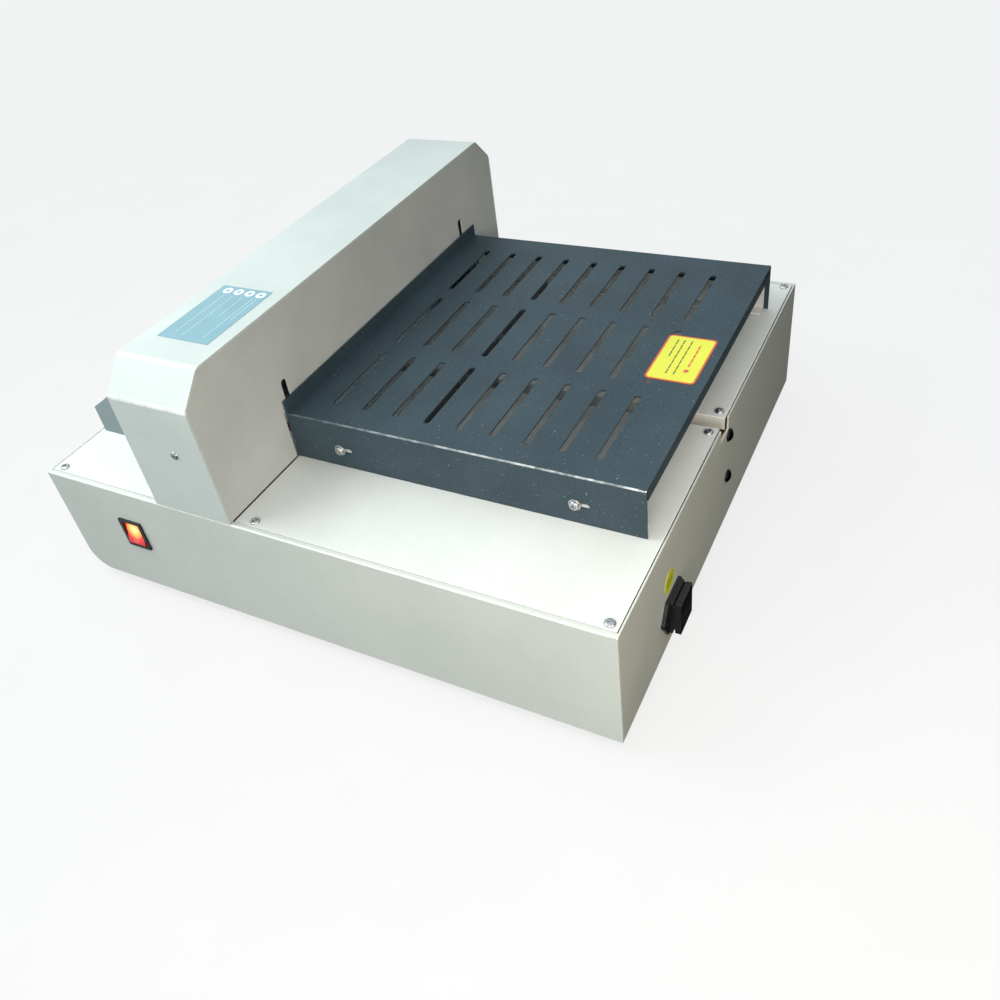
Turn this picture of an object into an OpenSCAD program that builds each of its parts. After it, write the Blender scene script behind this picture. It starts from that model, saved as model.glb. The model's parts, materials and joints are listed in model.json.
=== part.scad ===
// Electric desktop paper cutter: flat base, cutting head under a full-width hood,
// slotted guard over the rear table, motor-driven knife, screw-driven clamp and
// a back gauge on a lead screw. X runs across the machine, -Y is the operator's side.

/* [Base] */
// Width of the base across the machine
body_w = 480; // [470:1:500]
// Depth of the base, front to rear
body_d = 534; // [530:1:560]
// Height of the rubber feet
foot_h = 10; // [8:1:14]
// Height of the base box, from its bottom plate to the table
base_h = 113.5; // [112:0.5:120]
// Thickness of the sheet metal
sheet = 1.5; // [1.2:0.1:1.8]
// Radius of the fold along the base's lower front edge
front_fold = 22; // [16:1:26]

/* [Hood] */
// Front face of the hood, from the base's front
hood_y0 = 132.5; // [131:0.5:133]
// Rear face of the hood, from the base's front
hood_y1 = 211; // [210.5:0.5:212]
// Height of the hood over the table
hood_h = 131.5; // [131:0.5:136]
// Size of the bevel along the hood's two ends
hood_bevel = 24; // [20:1:28]
// Reach of the control console in front of the hood
console_reach = 24; // [22:1:28]

/* [Rear cover] */
// Height of the slotted cover over the table
cover_h = 44.5; // [44:0.5:48]
// Near side of the cover
cover_x1 = 147.5; // [147:0.5:148]
// Far side of the cover
cover_x0 = -186.5; // [-187:0.5:-186]
// Rear edge of the cover, from the base's front
cover_y1 = 521; // [515:1:524]
// Length of a cover slot
slot_len = 82; // [70:1:88]
// Width of a cover slot
slot_w = 5.6; // [4:0.2:8]
// Slots in each row
slot_count = 9; // [6:1:9]

/* [Knife and clamp] */
// Travel of the knife, from rest to the cutting stick
knife_travel = 45.5; // [40:0.5:45.5]
// Travel of the clamp, from rest to just over the table
clamp_travel = 42; // [38:1:42]
// Pitch radius of the pinions that drive the knife's racks
pinion_r = 15; // [15:1:15]

/* [Back gauge] */
// Front face of the back gauge at rest, from the base's front
gauge_y = 300; // [260:5:400]
// Height of the lead screw's axis over the floor
screw_z = 98.5; // [98:0.5:99]
// Height of the guide rod's axis over the floor
rod_z = 51; // [50:0.5:52]

/* [Hidden] */
$fn = 48;
e = 0.01;
gap = 0.3;

x1 = body_w / 2;
table_z = foot_h + base_h;
hood_top = table_z + hood_h;
cover_z = table_z + cover_h;
cover_y0 = hood_y1 + 1;
rim_w = 4.5;
rim_gap = 0.6;
plate_x = x1 - rim_w - rim_gap;
channel_x = 7.3;

// throat between the cheeks, and the cheeks themselves
throat_x0 = cover_x0 - 2;
throat_x1 = cover_x1 + 2.5;
cheek_t = 12;
cheek_y0 = 136;
cheek_y1 = 208;
bed_y0 = 137;
bed_y1 = hood_y1 + 0.2;
bed_z0 = table_z - 16.5;

// knife, clamp and drive
blade_y = 177;
edge_z = table_z + 45;
carrier_y0 = 161;
carrier_x0 = throat_x0 - cheek_t - 15;
carrier_x1 = throat_x1 + cheek_t + 15;
clamp_y0 = 179.5;
clamp_y1 = 203.5;
clamp_z = table_z + 43.5;
clamp_screw_x = -19.5;
clamp_screw_y = 193;
clamp_motor_x = clamp_screw_x + 17.7;
shaft_z = 70;
rack_y = 164.5;
shaft_y = rack_y - pinion_r;
tooth_m = 1.5;
pin_y = 141;
pin_z = table_z + 64.5;

// rocker switch, inlet and hand wheel
rocker_y = 84;
rocker_z = 75;
rocker_out = 3.4;
rocker_r = 12.5;
rocker_depth = 4;
inlet_x = 133.4;
inlet_z = 46.5;
inlet_out = 12;
wheel_out = 44;
bolt_x = -12;
bolt_zs = [104, 60];
wire_r = 2.2;

// the frame's origin is under the middle of the whole machine
screw_out = 1.5;
mid_x = (rocker_out - screw_out) / 2;
mid_y = (body_d + inlet_out - wheel_out) / 2;

// ---- shared shapes -------------------------------------------------------

module at_frame() translate([-mid_x, -mid_y, 0]) children();

// a box from its lowest to its highest corner
module box(a, b) translate(a) cube([b[0] - a[0], b[1] - a[1], b[2] - a[2]]);

// a (y, z) outline, run along X
module along_x(a, b) translate([a, 0, 0]) rotate([90, 0, 90]) linear_extrude(b - a) children();

// an (x, z) outline, run along Y
module along_y(a, b) translate([0, b, 0]) rotate([90, 0, 0]) linear_extrude(b - a) children();

// cylinders along each axis
module rod_x(a, b, y, z, r) translate([a, y, z]) rotate([0, 90, 0]) cylinder(h = b - a, r = r);
module rod_y(a, b, x, z, r) translate([x, a, z]) rotate([-90, 0, 0]) cylinder(h = b - a, r = r);
module rod_z(a, b, x, y, r) translate([x, y, a]) cylinder(h = b - a, r = r);

module slot2d(length, width) {
    square([length - width, width], center = true);
    for (s = [-1, 1]) translate([s * (length - width) / 2, 0]) circle(d = width);
}

module rounded2d(w, h, r) {
    square([w - 2 * r, h], center = true);
    square([w, h - 2 * r], center = true);
    for (i = [-1, 1], j = [-1, 1]) translate([i * (w / 2 - r), j * (h / 2 - r)]) circle(r = r);
}

// a low pan head with a cross recess, facing +Z
module pan_head(r, h) {
    difference() {
        union() {
            cylinder(h = h * 0.55, r = r);
            translate([0, 0, h * 0.55]) cylinder(h = h * 0.45, r1 = r, r2 = r * 0.62);
        }
        for (a = [0, 90]) rotate(a) translate([0, 0, h]) cube([r * 1.1, r * 0.26, h * 0.9], center = true);
    }
}

// a straight-sided gear outline
function tooth_points(count, m, slack) = [
    for (i = [0 : count - 1], p = [
        [-1, count * m / 2 - 1.15 * m, 0.25 * PI * m + 0.4 * m - slack],
        [-1, count * m / 2 + 0.9 * m, 0.25 * PI * m - 0.4 * m - slack],
        [1, count * m / 2 + 0.9 * m, 0.25 * PI * m - 0.4 * m - slack],
        [1, count * m / 2 - 1.15 * m, 0.25 * PI * m + 0.4 * m - slack]])
    let (a = 360 * i / count + p[0] * p[2] / p[1] * 180 / PI) [p[1] * cos(a), p[1] * sin(a)]
];

module gear2d(count, m, slack) polygon(tooth_points(count, m, slack));

// ---- base ------------------------------------------------------------------

module bottom_plate() color([0.62, 0.63, 0.62]) at_frame() difference() {
    box([-x1 + sheet + gap, front_fold + 3, foot_h], [x1 - sheet - gap, body_d - sheet - gap, foot_h + sheet]);
    for (i = [-1, 1], y = [48, 490]) rod_z(foot_h - e, foot_h + sheet + e, i * 205, y, 2.2);
    for (i = [0 : 6]) translate([208, 190 + i * 14, foot_h - e]) linear_extrude(sheet + 2 * e) slot2d(44, 5);
}

// clearance for the ends of the side panels' rims
module rim_relief(y) for (i = [-1, 1])
    translate([i * (x1 - rim_w / 2), y, table_z]) cube([rim_w + 0.4, 12, 2 * sheet + 0.4], center = true);

// outline of a side panel: square but for the folded lower front corner
module side_outline() {
    translate([front_fold, foot_h]) square([body_d - front_fold, base_h]);
    translate([0, foot_h + front_fold]) square([front_fold + e, base_h - front_fold]);
    translate([front_fold, foot_h + front_fold]) circle(r = front_fold);
}

module front_panel() color([0.80, 0.80, 0.77]) at_frame() difference() {
    along_x(-x1 + sheet + gap, x1 - sheet - gap) difference() {
        intersection() {
            side_outline();
            square([front_fold + 2.6, 200]);
        }
        translate([sheet, foot_h + front_fold]) square([60, 200]);
        translate([front_fold, foot_h + sheet]) square([60, 200]);
        translate([front_fold, foot_h + front_fold]) circle(r = front_fold - sheet);
    }
    rod_y(-e, sheet + e, 0, screw_z, 9);
    rod_y(-e, sheet + e, 176, 84, 11);
    rim_relief(0);
}

module side_sheet() {
    along_x(x1 - sheet, x1) side_outline();
    box([x1 - rim_w, 0, table_z - sheet], [x1 - e, body_d, table_z]);
    box([x1 - rim_w, 3, table_z - 3 * sheet], [x1 - rim_w + sheet, body_d - 3, table_z - e]);
    box([x1 - 24, 3, table_z - 2 * sheet - gap], [x1 - rim_w + e, hood_y0, table_z - sheet - gap]);
    box([x1 - 24, hood_y1 + 4, table_z - 2 * sheet - gap], [x1 - rim_w + e, body_d - 3, table_z - sheet - gap]);
}

module side_panel_right() color([0.80, 0.82, 0.79]) at_frame() difference() {
    side_sheet();
    box([x1 - 6, rocker_y - 11.3, rocker_z - 14.3], [x1 + 6, rocker_y + 11.3, rocker_z + 14.3]);
    for (y = [12, 228.7, 525]) rod_z(table_z - 5, table_z + e, 229.7, y, 1.7);
}

module side_panel_left() color([0.80, 0.82, 0.79]) at_frame() difference() {
    mirror([1, 0, 0]) side_sheet();
    for (i = [0 : 8], j = [0, 1])
        translate([-x1 - e, 360 + i * 12, 45 + 34 * j]) rotate([0, 90, 0]) linear_extrude(3) slot2d(26, 4);
    for (y = [12, 228.7, 525]) rod_z(table_z - 5, table_z + e, -229.7, y, 1.7);
}

module rear_panel() color([0.62, 0.58, 0.52]) at_frame() difference() {
    box([-x1 + sheet + gap, body_d - sheet, foot_h], [x1 - sheet - gap, body_d, table_z]);
    box([-channel_x - 3, body_d - 5, table_z - 12], [channel_x + 3, body_d + 1, table_z + 1]);
    for (z = bolt_zs) rod_y(body_d - 5, body_d + 1, bolt_x, z, 3.1);
    box([inlet_x - 14, body_d - 5, inlet_z - 15.3], [inlet_x + 14, body_d + 1, inlet_z + 15.3]);
    for (i = [-1, 1]) rod_y(body_d - 5, body_d + 1, inlet_x + 20 * i, inlet_z, 1.6);
    rim_relief(body_d);
}

module rubber_feet() color([0.10, 0.10, 0.10]) at_frame()
    for (i = [-1, 1], y = [48, 490]) translate([i * 205, y, 0]) rotate_extrude() difference() {
        union() {
            square([14, foot_h]);
            translate([0, foot_h - e]) square([2.1, sheet + 2]);
        }
        translate([13, -e]) polygon([[0, 0], [2, 0], [2, 3]]);
        translate([-e, -e]) square([4, 2]);
    }

module front_table() color([0.88, 0.89, 0.87]) at_frame() difference() {
    box([-plate_x, 2.4, table_z - sheet], [plate_x, cheek_y0 - gap, table_z]);
    for (i = [-1, 1]) rod_z(table_z - 3, table_z + e, i * 229.7, 12, 2.2);
}

module rear_half() difference() {
    union() {
        box([channel_x, bed_y1 + gap, table_z - sheet], [plate_x, body_d - 2.4, table_z]);
        box([channel_x, bed_y1 + gap, table_z - 12], [channel_x + sheet, body_d - 2.4, table_z - e]);
    }
    for (p = [[229.7, 228.7], [229.7, 525], [15, 525]]) rod_z(table_z - 3, table_z + e, p[0], p[1], 2.2);
    for (y = [235, 455]) rod_z(table_z - 3, table_z + e, 139, y, 2.2);
}

module rear_table_right() color([0.86, 0.86, 0.83]) at_frame() rear_half();

module rear_table_left() color([0.84, 0.85, 0.83]) at_frame() mirror([1, 0, 0]) rear_half();

module table_screws() color([0.75, 0.76, 0.78]) at_frame() {
    for (i = [-1, 1], p = [[229.7, 12], [229.7, 228.7], [229.7, 525], [15, 525]])
        translate([i * p[0], p[1], table_z]) {
            pan_head(4, 2);
            translate([0, 0, -6]) cylinder(h = 6 + e, r = 1.6);
        }
}

// ---- cutting head ----------------------------------------------------------

module table_bed() color([0.55, 0.57, 0.58]) at_frame() difference() {
    box([throat_x0 + gap, bed_y0, bed_z0], [throat_x1 - gap, bed_y1, table_z]);
    box([throat_x0 - 1, blade_y - 6, table_z - 8], [throat_x1 + 1, blade_y + 5, table_z + 1]);
}

module cutting_stick() color([0.75, 0.10, 0.09]) at_frame() difference() {
    box([throat_x0 + gap, blade_y - 5.9, table_z - 8], [throat_x1 - gap, blade_y + 4.9, table_z]);
    box([throat_x0 - 1, blade_y - 2, table_z - 2], [throat_x1 + 1, blade_y + 0.6, table_z + 1]);
}

// a side frame, with its inner face on x = 0 and its outer face on x = cheek_t
module cheek() difference() {
    box([0, cheek_y0, foot_h + sheet + 0.2], [cheek_t, cheek_y1, table_z + 122.5]);
    // slot that guides the knife carrier
    box([-1, carrier_y0 - gap, table_z + 12], [cheek_t + 1, blade_y + gap, table_z + 117]);
    // groove that guides the clamp
    box([-1, 184.7, table_z - 1], [5.3, 200.3, table_z + 90]);
    rod_x(-1, cheek_t + 1, shaft_y, shaft_z, 12);
    rod_x(-1, 5, pin_y, pin_z, 1.55);
    for (z = [table_z + 80, table_z + 108]) rod_x(-1, cheek_t + 1, 148, z, 3.3);
}

module cheek_right() color([0.45, 0.47, 0.49]) at_frame() translate([throat_x1, 0, 0]) cheek();

module cheek_left() color([0.45, 0.47, 0.49]) at_frame()
    translate([throat_x0, 0, 0]) mirror([1, 0, 0]) cheek();

module cross_beam() color([0.50, 0.52, 0.54]) at_frame()
    box([throat_x0 + gap, 139, table_z + 73], [throat_x1 - gap, 158, table_z + 122.5]);

module knife_carrier() color([0.60, 0.62, 0.64]) at_frame() difference() {
    union() {
        box([carrier_x0, carrier_y0, edge_z + 44], [carrier_x1, blade_y, edge_z + 70]);
        for (s = [[carrier_x0, throat_x0 - 0.5], [throat_x1 + 0.5, carrier_x1]])
            box([s[0], carrier_y0, edge_z + 17], [s[1], blade_y, edge_z + 44 + e]);
        box([throat_x0 - 1, carrier_y0, edge_z + 17], [throat_x1 + 1, blade_y - 6.1, edge_z + 44 + e]);
    }
    for (i = [0 : 5]) rod_y(carrier_y0 - 1, blade_y + 1, -149.5 + i * 52, edge_z + 30, 3.3);
}

module knife_blade() color([0.80, 0.82, 0.84]) at_frame() difference() {
    along_x(throat_x0 + 2.5, throat_x1 - 2.5) polygon([
        [blade_y, edge_z], [blade_y, edge_z + 43.5],
        [blade_y - 6, edge_z + 43.5], [blade_y - 6, edge_z + 13.5]]);
    for (i = [0 : 5]) rod_y(blade_y - 7, blade_y + 1, -149.5 + i * 52, edge_z + 30, 3.3);
}

// teeth face -Y, and one tooth is centred on the shaft's height
module rack_bar(x) {
    pitch = PI * tooth_m;
    along_x(x, x + 10) union() {
        translate([rack_y + 1.7, shaft_z - 9]) square([9.8, edge_z + 70 - shaft_z + 9]);
        for (i = [-1 : 12]) translate([rack_y, shaft_z + i * pitch])
            polygon([[1.8, -1.62], [1.8, 1.62], [-1.3, 0.5], [-1.3, -0.5]]);
    }
}

module drive_racks() color([0.55, 0.56, 0.58]) at_frame() {
    rack_bar(carrier_x1 + 0.2);
    rack_bar(carrier_x0 - 10.2);
}

module drive_shaft() color([0.66, 0.68, 0.70]) at_frame() {
    rod_x(carrier_x0 - 13, 226, shaft_y, shaft_z, 8);
    for (x = [carrier_x1, carrier_x0 - 10.4]) translate([x, shaft_y, shaft_z])
        rotate([90, 0, 90]) rotate(9) linear_extrude(10.4) gear2d(20, tooth_m, 0.12);
}

module bearing() difference() {
    union() {
        cylinder(h = cheek_t, r = 11.9);
        translate([0, 0, -2.5]) cylinder(h = 2.5, r = 15);
    }
    translate([0, 0, -4]) cylinder(h = cheek_t + 8, r = 8.05);
}

module shaft_bearings() color([0.72, 0.56, 0.30]) at_frame() {
    translate([throat_x1, shaft_y, shaft_z]) rotate([0, 90, 0]) bearing();
    translate([throat_x0, shaft_y, shaft_z]) rotate([0, -90, 0]) bearing();
}

module worm_gearbox() color([0.42, 0.44, 0.46]) at_frame() difference() {
    union() {
        box([190, 124, 44], [230, 176, 96]);
        rod_x(187.5, 190.1, shaft_y, shaft_z, 17);
        for (z = [49, 91], y = [129, 171]) rod_x(189, 232, y, z, 4);
        box([194, 130, foot_h + sheet + 0.2], [226, 170, 44.1]);
    }
    rod_x(180, 228, shaft_y, shaft_z, 8.05);
}

module drive_motor() color([0.20, 0.22, 0.24]) at_frame() {
    translate([208, 176.2, shaft_z]) rotate([-90, 0, 0]) {
        cylinder(h = 6, r = 27);
        translate([0, 0, 6 - e]) cylinder(h = 92, r = 28);
        translate([0, 0, 98 - 2 * e]) cylinder(h = 14, r = 26);
        for (i = [0 : 11]) rotate(i * 30) translate([27, -1.5, 14]) cube([2.6, 3, 76]);
    }
}

// ---- clamp -----------------------------------------------------------------

// the beam runs in the cheeks' grooves, and its two rear pins in the hood's notches
module clamp_beam() color([0.58, 0.60, 0.62]) at_frame() {
    difference() {
        union() {
            box([throat_x0 + 1, clamp_y0, clamp_z], [throat_x1 - 1, clamp_y1, clamp_z + 39]);
            box([throat_x0 - 4.5, 185, clamp_z + 4], [throat_x1 + 4.5, 200, clamp_z + 39]);
            rod_z(clamp_z + 30, clamp_z + 55, clamp_screw_x, clamp_screw_y, 9);
        }
        rod_z(clamp_z + 1.5, clamp_z + 56, clamp_screw_x, clamp_screw_y, 5.06);
    }
    for (x = [138, -164]) rod_y(clamp_y1 + 0.02, hood_y1 - 0.4, x, clamp_z + 8, 2.9);
}

module clamp_screw() color([0.70, 0.71, 0.73]) at_frame() {
    rod_z(clamp_z + 2, hood_top - 2.6, clamp_screw_x, clamp_screw_y, 5);
    translate([clamp_screw_x, clamp_screw_y, hood_top - 8.5]) linear_extrude(5) gear2d(32, 0.8, 0.1);
}

module clamp_bridge() color([0.50, 0.52, 0.54]) at_frame() difference() {
    box([throat_x0 + gap, 181, table_z + 112.5], [throat_x1 - gap, 205, table_z + 121.5]);
    rod_z(table_z + 110, table_z + 125, clamp_screw_x, clamp_screw_y, 5.06);
    rod_z(table_z + 110, table_z + 125, clamp_motor_x, clamp_screw_y, 3.5);
}

module clamp_motor() color([0.25, 0.26, 0.28]) at_frame()
    rod_z(table_z + 85, table_z + 112.4, clamp_motor_x, clamp_screw_y, 8);

module motor_pinion() color([0.76, 0.62, 0.30]) at_frame() translate([clamp_motor_x, clamp_screw_y, 0]) {
    translate([0, 0, hood_top - 8.5]) linear_extrude(5) rotate(15) gear2d(12, 0.8, 0.1);
    translate([0, 0, table_z + 113]) cylinder(h = hood_top - 8 - table_z - 113, r = 3.4);
}

// ---- hood ------------------------------------------------------------------

function hood_points(inset, low) = let (k = inset * (sqrt(2) - 1)) [
    [-x1 + inset, low], [-x1 + inset, hood_top - hood_bevel - k], [-x1 + hood_bevel + k, hood_top - inset],
    [x1 - hood_bevel - k, hood_top - inset], [x1 - inset, hood_top - hood_bevel - k], [x1 - inset, low]
];

module hood_cover() color([0.84, 0.87, 0.85]) at_frame() difference() {
    along_y(hood_y0, hood_y1) difference() {
        polygon(hood_points(0, table_z + gap));
        polygon(hood_points(sheet, table_z - 5));
    }
    for (i = [-1, 1]) rod_x(i * x1 - 3, i * x1 + 3, 181, table_z + 62.7, 2.2);
}

module hood_front_plate() color([0.80, 0.82, 0.80]) at_frame() along_y(hood_y0 + 0.2, hood_y0 + 0.2 + sheet)
    difference() {
        polygon(hood_points(sheet + 0.2, table_z + 0.5));
        translate([throat_x0, table_z - 5]) square([throat_x1 - throat_x0, 73.5]);
        for (x = [-60, 60]) translate([x, hood_top - 32]) circle(r = 6);
    }

module hood_rear_plate() color([0.66, 0.66, 0.62]) at_frame() along_y(hood_y1 - 0.2 - sheet, hood_y1 - 0.2)
    difference() {
        polygon(hood_points(sheet + 0.2, table_z + 0.5));
        translate([cover_x0 - 1, table_z - 5]) square([cover_x1 - cover_x0 + 2, 49]);
        for (x = [138, -164]) translate([x, table_z + 43]) {
            square([6.8, 50], center = true);
            translate([0, 25]) circle(d = 6.8);
        }
    }

// an end screw and the spacer it draws against the side frame
module hood_screw(length) rotate([0, 90, 0]) {
    pan_head(3.6, screw_out);
    translate([0, 0, -8]) cylinder(h = 8 + e, r = 2);
    difference() {
        translate([0, 0, -length]) cylinder(h = length - sheet - 0.1, r = 3.6);
        translate([0, 0, -12]) cylinder(h = 13, r = 2.05);
    }
}

module hood_screws() color([0.70, 0.71, 0.72]) at_frame() {
    translate([x1, 181, table_z + 62.7]) hood_screw(x1 - throat_x1 - cheek_t);
    translate([-x1, 181, table_z + 62.7]) mirror([1, 0, 0]) hood_screw(x1 + throat_x0 - cheek_t);
}

// ---- console ---------------------------------------------------------------

con_y0 = hood_y0 - console_reach;
con_z0 = table_z + 68.5;
con_z1 = table_z + 91.5;
con_z2 = table_z + 107;
con_y1 = hood_y0 - 0.1;
slope = atan2(con_z2 - con_z1, con_y1 - con_y0);

// places children on the middle of the sloping face, facing out of it
module on_slope(x)
    translate([x, (con_y0 + con_y1) / 2, (con_z1 + con_z2) / 2]) rotate([slope, 0, 0]) children();
module on_front(x) translate([x, con_y0, con_z0 + 11.5]) rotate([90, 0, 0]) children();

module control_console() color([0.55, 0.62, 0.62]) at_frame() difference() {
    along_x(-x1 + 2, x1 - 2) polygon([[con_y0, con_z0], [con_y0, con_z1], [con_y1, con_z2], [con_y1, con_z0]]);
    along_x(-x1 + 2 + sheet, x1 - 2 - sheet) polygon([
        [con_y0 + sheet, con_z0 + sheet], [con_y0 + sheet, con_z1 - 0.8],
        [con_y1 + e, con_z2 - 1.8], [con_y1 + e, con_z0 + sheet]]);
    for (x = [20, 50, 80]) on_slope(x) translate([0, 0, -6]) cylinder(h = 12, r = 5.4);
    on_slope(-60) cube([72, 15, 12], center = true);
    for (x = [-150, 150]) on_front(x) translate([0, 0, -6]) cylinder(h = 12, r = 8.3);
}

module display_window() color([0.05, 0.06, 0.08]) at_frame() on_slope(-60) {
    translate([0, 0, -1.2]) linear_extrude(1.7) square([71.4, 14.4], center = true);
    translate([0, 0, 0.1]) linear_extrude(0.7) rounded2d(78, 19, 2.5);
}

module key(x) on_slope(x) {
    translate([0, 0, -4]) cylinder(h = 7, r = 5);
    translate([0, 0, -5.5]) cylinder(h = 1.6, r = 6.6);
}

module key_forward() color([0.16, 0.36, 0.62]) at_frame() key(20);
module key_back() color([0.16, 0.36, 0.62]) at_frame() key(50);
module key_clamp() color([0.80, 0.80, 0.80]) at_frame() key(80);

module cut_button(x) on_front(x) {
    translate([0, 0, -6]) cylinder(h = 10.5, r = 8);
    translate([0, 0, -8]) cylinder(h = 2.1, r = 9.5);
}

module cut_button_right() color([0.12, 0.55, 0.25]) at_frame() cut_button(150);
module cut_button_left() color([0.12, 0.55, 0.25]) at_frame() cut_button(-150);

module on_stop() translate([176, 0, 84]) rotate([90, 0, 0]) children();

module stop_collar() color([0.85, 0.70, 0.10]) at_frame() on_stop() difference() {
    union() {
        translate([0, 0, e]) cylinder(h = 3, r = 19);
        translate([0, 0, -22]) cylinder(h = 24, r = 10.8);
    }
    translate([0, 0, -16]) cylinder(h = 30, r = 8);
}

module stop_button() color([0.75, 0.06, 0.05]) at_frame() on_stop() {
    translate([0, 0, -9]) cylinder(h = 19, r = 7.9);
    translate([0, 0, 9]) cylinder(h = 8, r = 15);
    translate([0, 0, 17 - e]) cylinder(h = 4, r1 = 15, r2 = 10);
}

module throat_guard() color([0.75, 0.85, 0.88, 0.4]) at_frame() {
    box([throat_x0 + 5, pin_y - 1, table_z + 7], [throat_x1 - 5, pin_y + 1, pin_z - 2]);
    for (i = [0 : 4]) difference() {
        union() {
            rod_x(throat_x0 + 8 + i * 70, throat_x0 + 38 + i * 70, pin_y, pin_z, 3);
            translate([throat_x0 + 8 + i * 70, pin_y - 1, pin_z - 2.5]) cube([30, 2, 0.9]);
        }
        rod_x(throat_x0, throat_x1, pin_y, pin_z, 1.55);
    }
}

module guard_pin() color([0.72, 0.73, 0.75]) at_frame()
    rod_x(throat_x0 - 4.5, throat_x1 + 4.5, pin_y, pin_z, 1.5);

// ---- rear cover ------------------------------------------------------------

module rear_cover() color([0.24, 0.31, 0.35]) at_frame() difference() {
    union() {
        box([cover_x0, cover_y0, cover_z - sheet], [cover_x1, cover_y1, cover_z]);
        for (x = [cover_x0, cover_x1 - sheet])
            box([x, cover_y0, table_z + gap], [x + sheet, cover_y1, cover_z - e]);
        box([cover_x0, cover_y0, cover_z - e], [cover_x1, cover_y0 + sheet, cover_z + 11.3]);
        box([cover_x0 + 3.5, cover_y1 - sheet, cover_z - 10.8], [cover_x1 - 3.5, cover_y1, cover_z - e]);
    }
    for (i = [0 : slot_count - 1], x = [-115.5, -16, 83.5])
        translate([x, 245.3 + i * 29, cover_z - 3]) linear_extrude(6) slot2d(slot_len, slot_w);
    for (y = [259.4, 466.6]) translate([0, y + 3.5, table_z + 17.7]) rotate([90, 0, 90])
        for (x = [cover_x0, cover_x1]) translate([0, 0, x - 3]) linear_extrude(6) slot2d(16, 4.6);
}

module bracket() difference() {
    union() {
        box([-sheet, cover_y0 + 3, table_z + gap], [0, cover_y1 - 4, table_z + 24]);
        box([-13, cover_y0 + 3, table_z + gap], [-e, cover_y1 - 4, table_z + gap + sheet]);
    }
    for (y = [259.4, 466.6]) rod_x(-3, 3, y, table_z + 17.7, 2.05);
}

module cover_brackets() color([0.80, 0.81, 0.78]) at_frame() {
    translate([cover_x1 - sheet - gap, 0, 0]) bracket();
    translate([cover_x0 + sheet + gap, 0, 0]) mirror([1, 0, 0]) bracket();
}

module cover_screws() color([0.78, 0.79, 0.80]) at_frame()
    for (y = [259.4, 466.6], s = [[cover_x1, 1], [cover_x0, -1]])
        translate([s[0] + s[1] * 0.05, y, table_z + 17.7]) rotate([0, 90 * s[1], 0]) {
            cylinder(h = 0.7, r = 5);
            translate([0, 0, 0.7 - e]) pan_head(4, 2.6);
            translate([0, 0, -6]) cylinder(h = 6 + e, r = 2);
        }

// thin plates on the cover and the hood, and an oval one over the inlet
module labels() color([0.90, 0.82, 0.15]) at_frame() {
    translate([-16.2, 492.3, cover_z + 0.05]) linear_extrude(0.35) rounded2d(66.5, 41, 4);
    translate([147.5, 172.5, hood_top + 0.05]) linear_extrude(0.3) rounded2d(81, 50.5, 1);
    rod_y(body_d + 0.05, body_d + 0.35, inlet_x + 5.2, inlet_z + 31, 10);
}

// ---- switch, inlet and rear fittings ----------------------------------------

module on_switch() translate([x1, rocker_y, rocker_z]) rotate([90, 0, 90]) children();

module switch_bezel() color([0.05, 0.05, 0.06]) at_frame() on_switch() difference() {
    union() {
        translate([0, 0, 0.05]) linear_extrude(1.8) rounded2d(26.2, 31, 1);
        translate([0, 0, -24]) linear_extrude(24.1) square([22, 28], center = true);
    }
    translate([0, 0, -12]) linear_extrude(15) square([19.6, 25.4], center = true);
    translate([0, 0, -rocker_depth]) rotate([0, 90, 0]) cylinder(h = 21.2, r = 1.25, center = true);
}

// a point on the rocker's end arc, as depth from the panel and height
function rocker_arc(a, s) = [rocker_r * sin(a) - rocker_depth, s * rocker_r * cos(a)];

// the upper half is pressed in at rest, which is the on position
module power_rocker() color([0.86, 0.10, 0.09]) at_frame() on_switch() {
    translate([9.6, 0, 0]) rotate([0, -90, 0]) linear_extrude(19.2) polygon(concat(
        [[-9, -6], [-9, 6]], [for (i = [0 : 4]) rocker_arc(14.8 * i / 4, 1)],
        [[0.7, 0.6]], [for (i = [0 : 6]) rocker_arc(36.3 - 36.3 * i / 6, -1)]));
    translate([0, 0, -rocker_depth]) rotate([0, 90, 0]) cylinder(h = 20.8, r = 1.2, center = true);
}

module on_inlet() translate([inlet_x, body_d, inlet_z]) rotate([90, 0, 180]) children();

module power_inlet() color([0.06, 0.07, 0.08]) at_frame() on_inlet() difference() {
    union() {
        // flange with two tapered ears
        translate([0, 0, 0.05]) linear_extrude(2.9) union() {
            square([30.8, 34], center = true);
            for (s = [-1, 1]) {
                polygon([[s * 15, 17], [s * 22.5, 4.2], [s * 22.5, -4.2], [s * 15, -17]]);
                translate([s * 20.6, 0]) circle(r = 4.4);
            }
        }
        // raised collar with a groove round it
        translate([0, 0, 2.9]) linear_extrude(2.6) square([27.4, 32.4], center = true);
        translate([0, 0, 5.4]) linear_extrude(1.8) square([26, 24.4], center = true);
        translate([0, 0, 7.1]) linear_extrude(inlet_out - 7.1) square([26.4, 31.2], center = true);
        translate([0, 0, -26]) linear_extrude(26.1) square([27.2, 30], center = true);
    }
    // socket well, with the fuse drawer's well under it
    translate([0, 2.8, -14]) linear_extrude(40) square([23.6, 16.4], center = true);
    translate([0, -9.6, -12]) linear_extrude(40) square([21.2, 6.2], center = true);
    for (s = [-1, 1]) translate([s * 20, 0, -5]) cylinder(h = 20, r = 1.6);
}

module inlet_pins() color([0.80, 0.80, 0.78]) at_frame() on_inlet()
    for (p = [[-7, 1], [7, 1], [0, 5]])
        translate([p[0], p[1], -13.98]) linear_extrude(16) square([2, 4], center = true);

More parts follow.
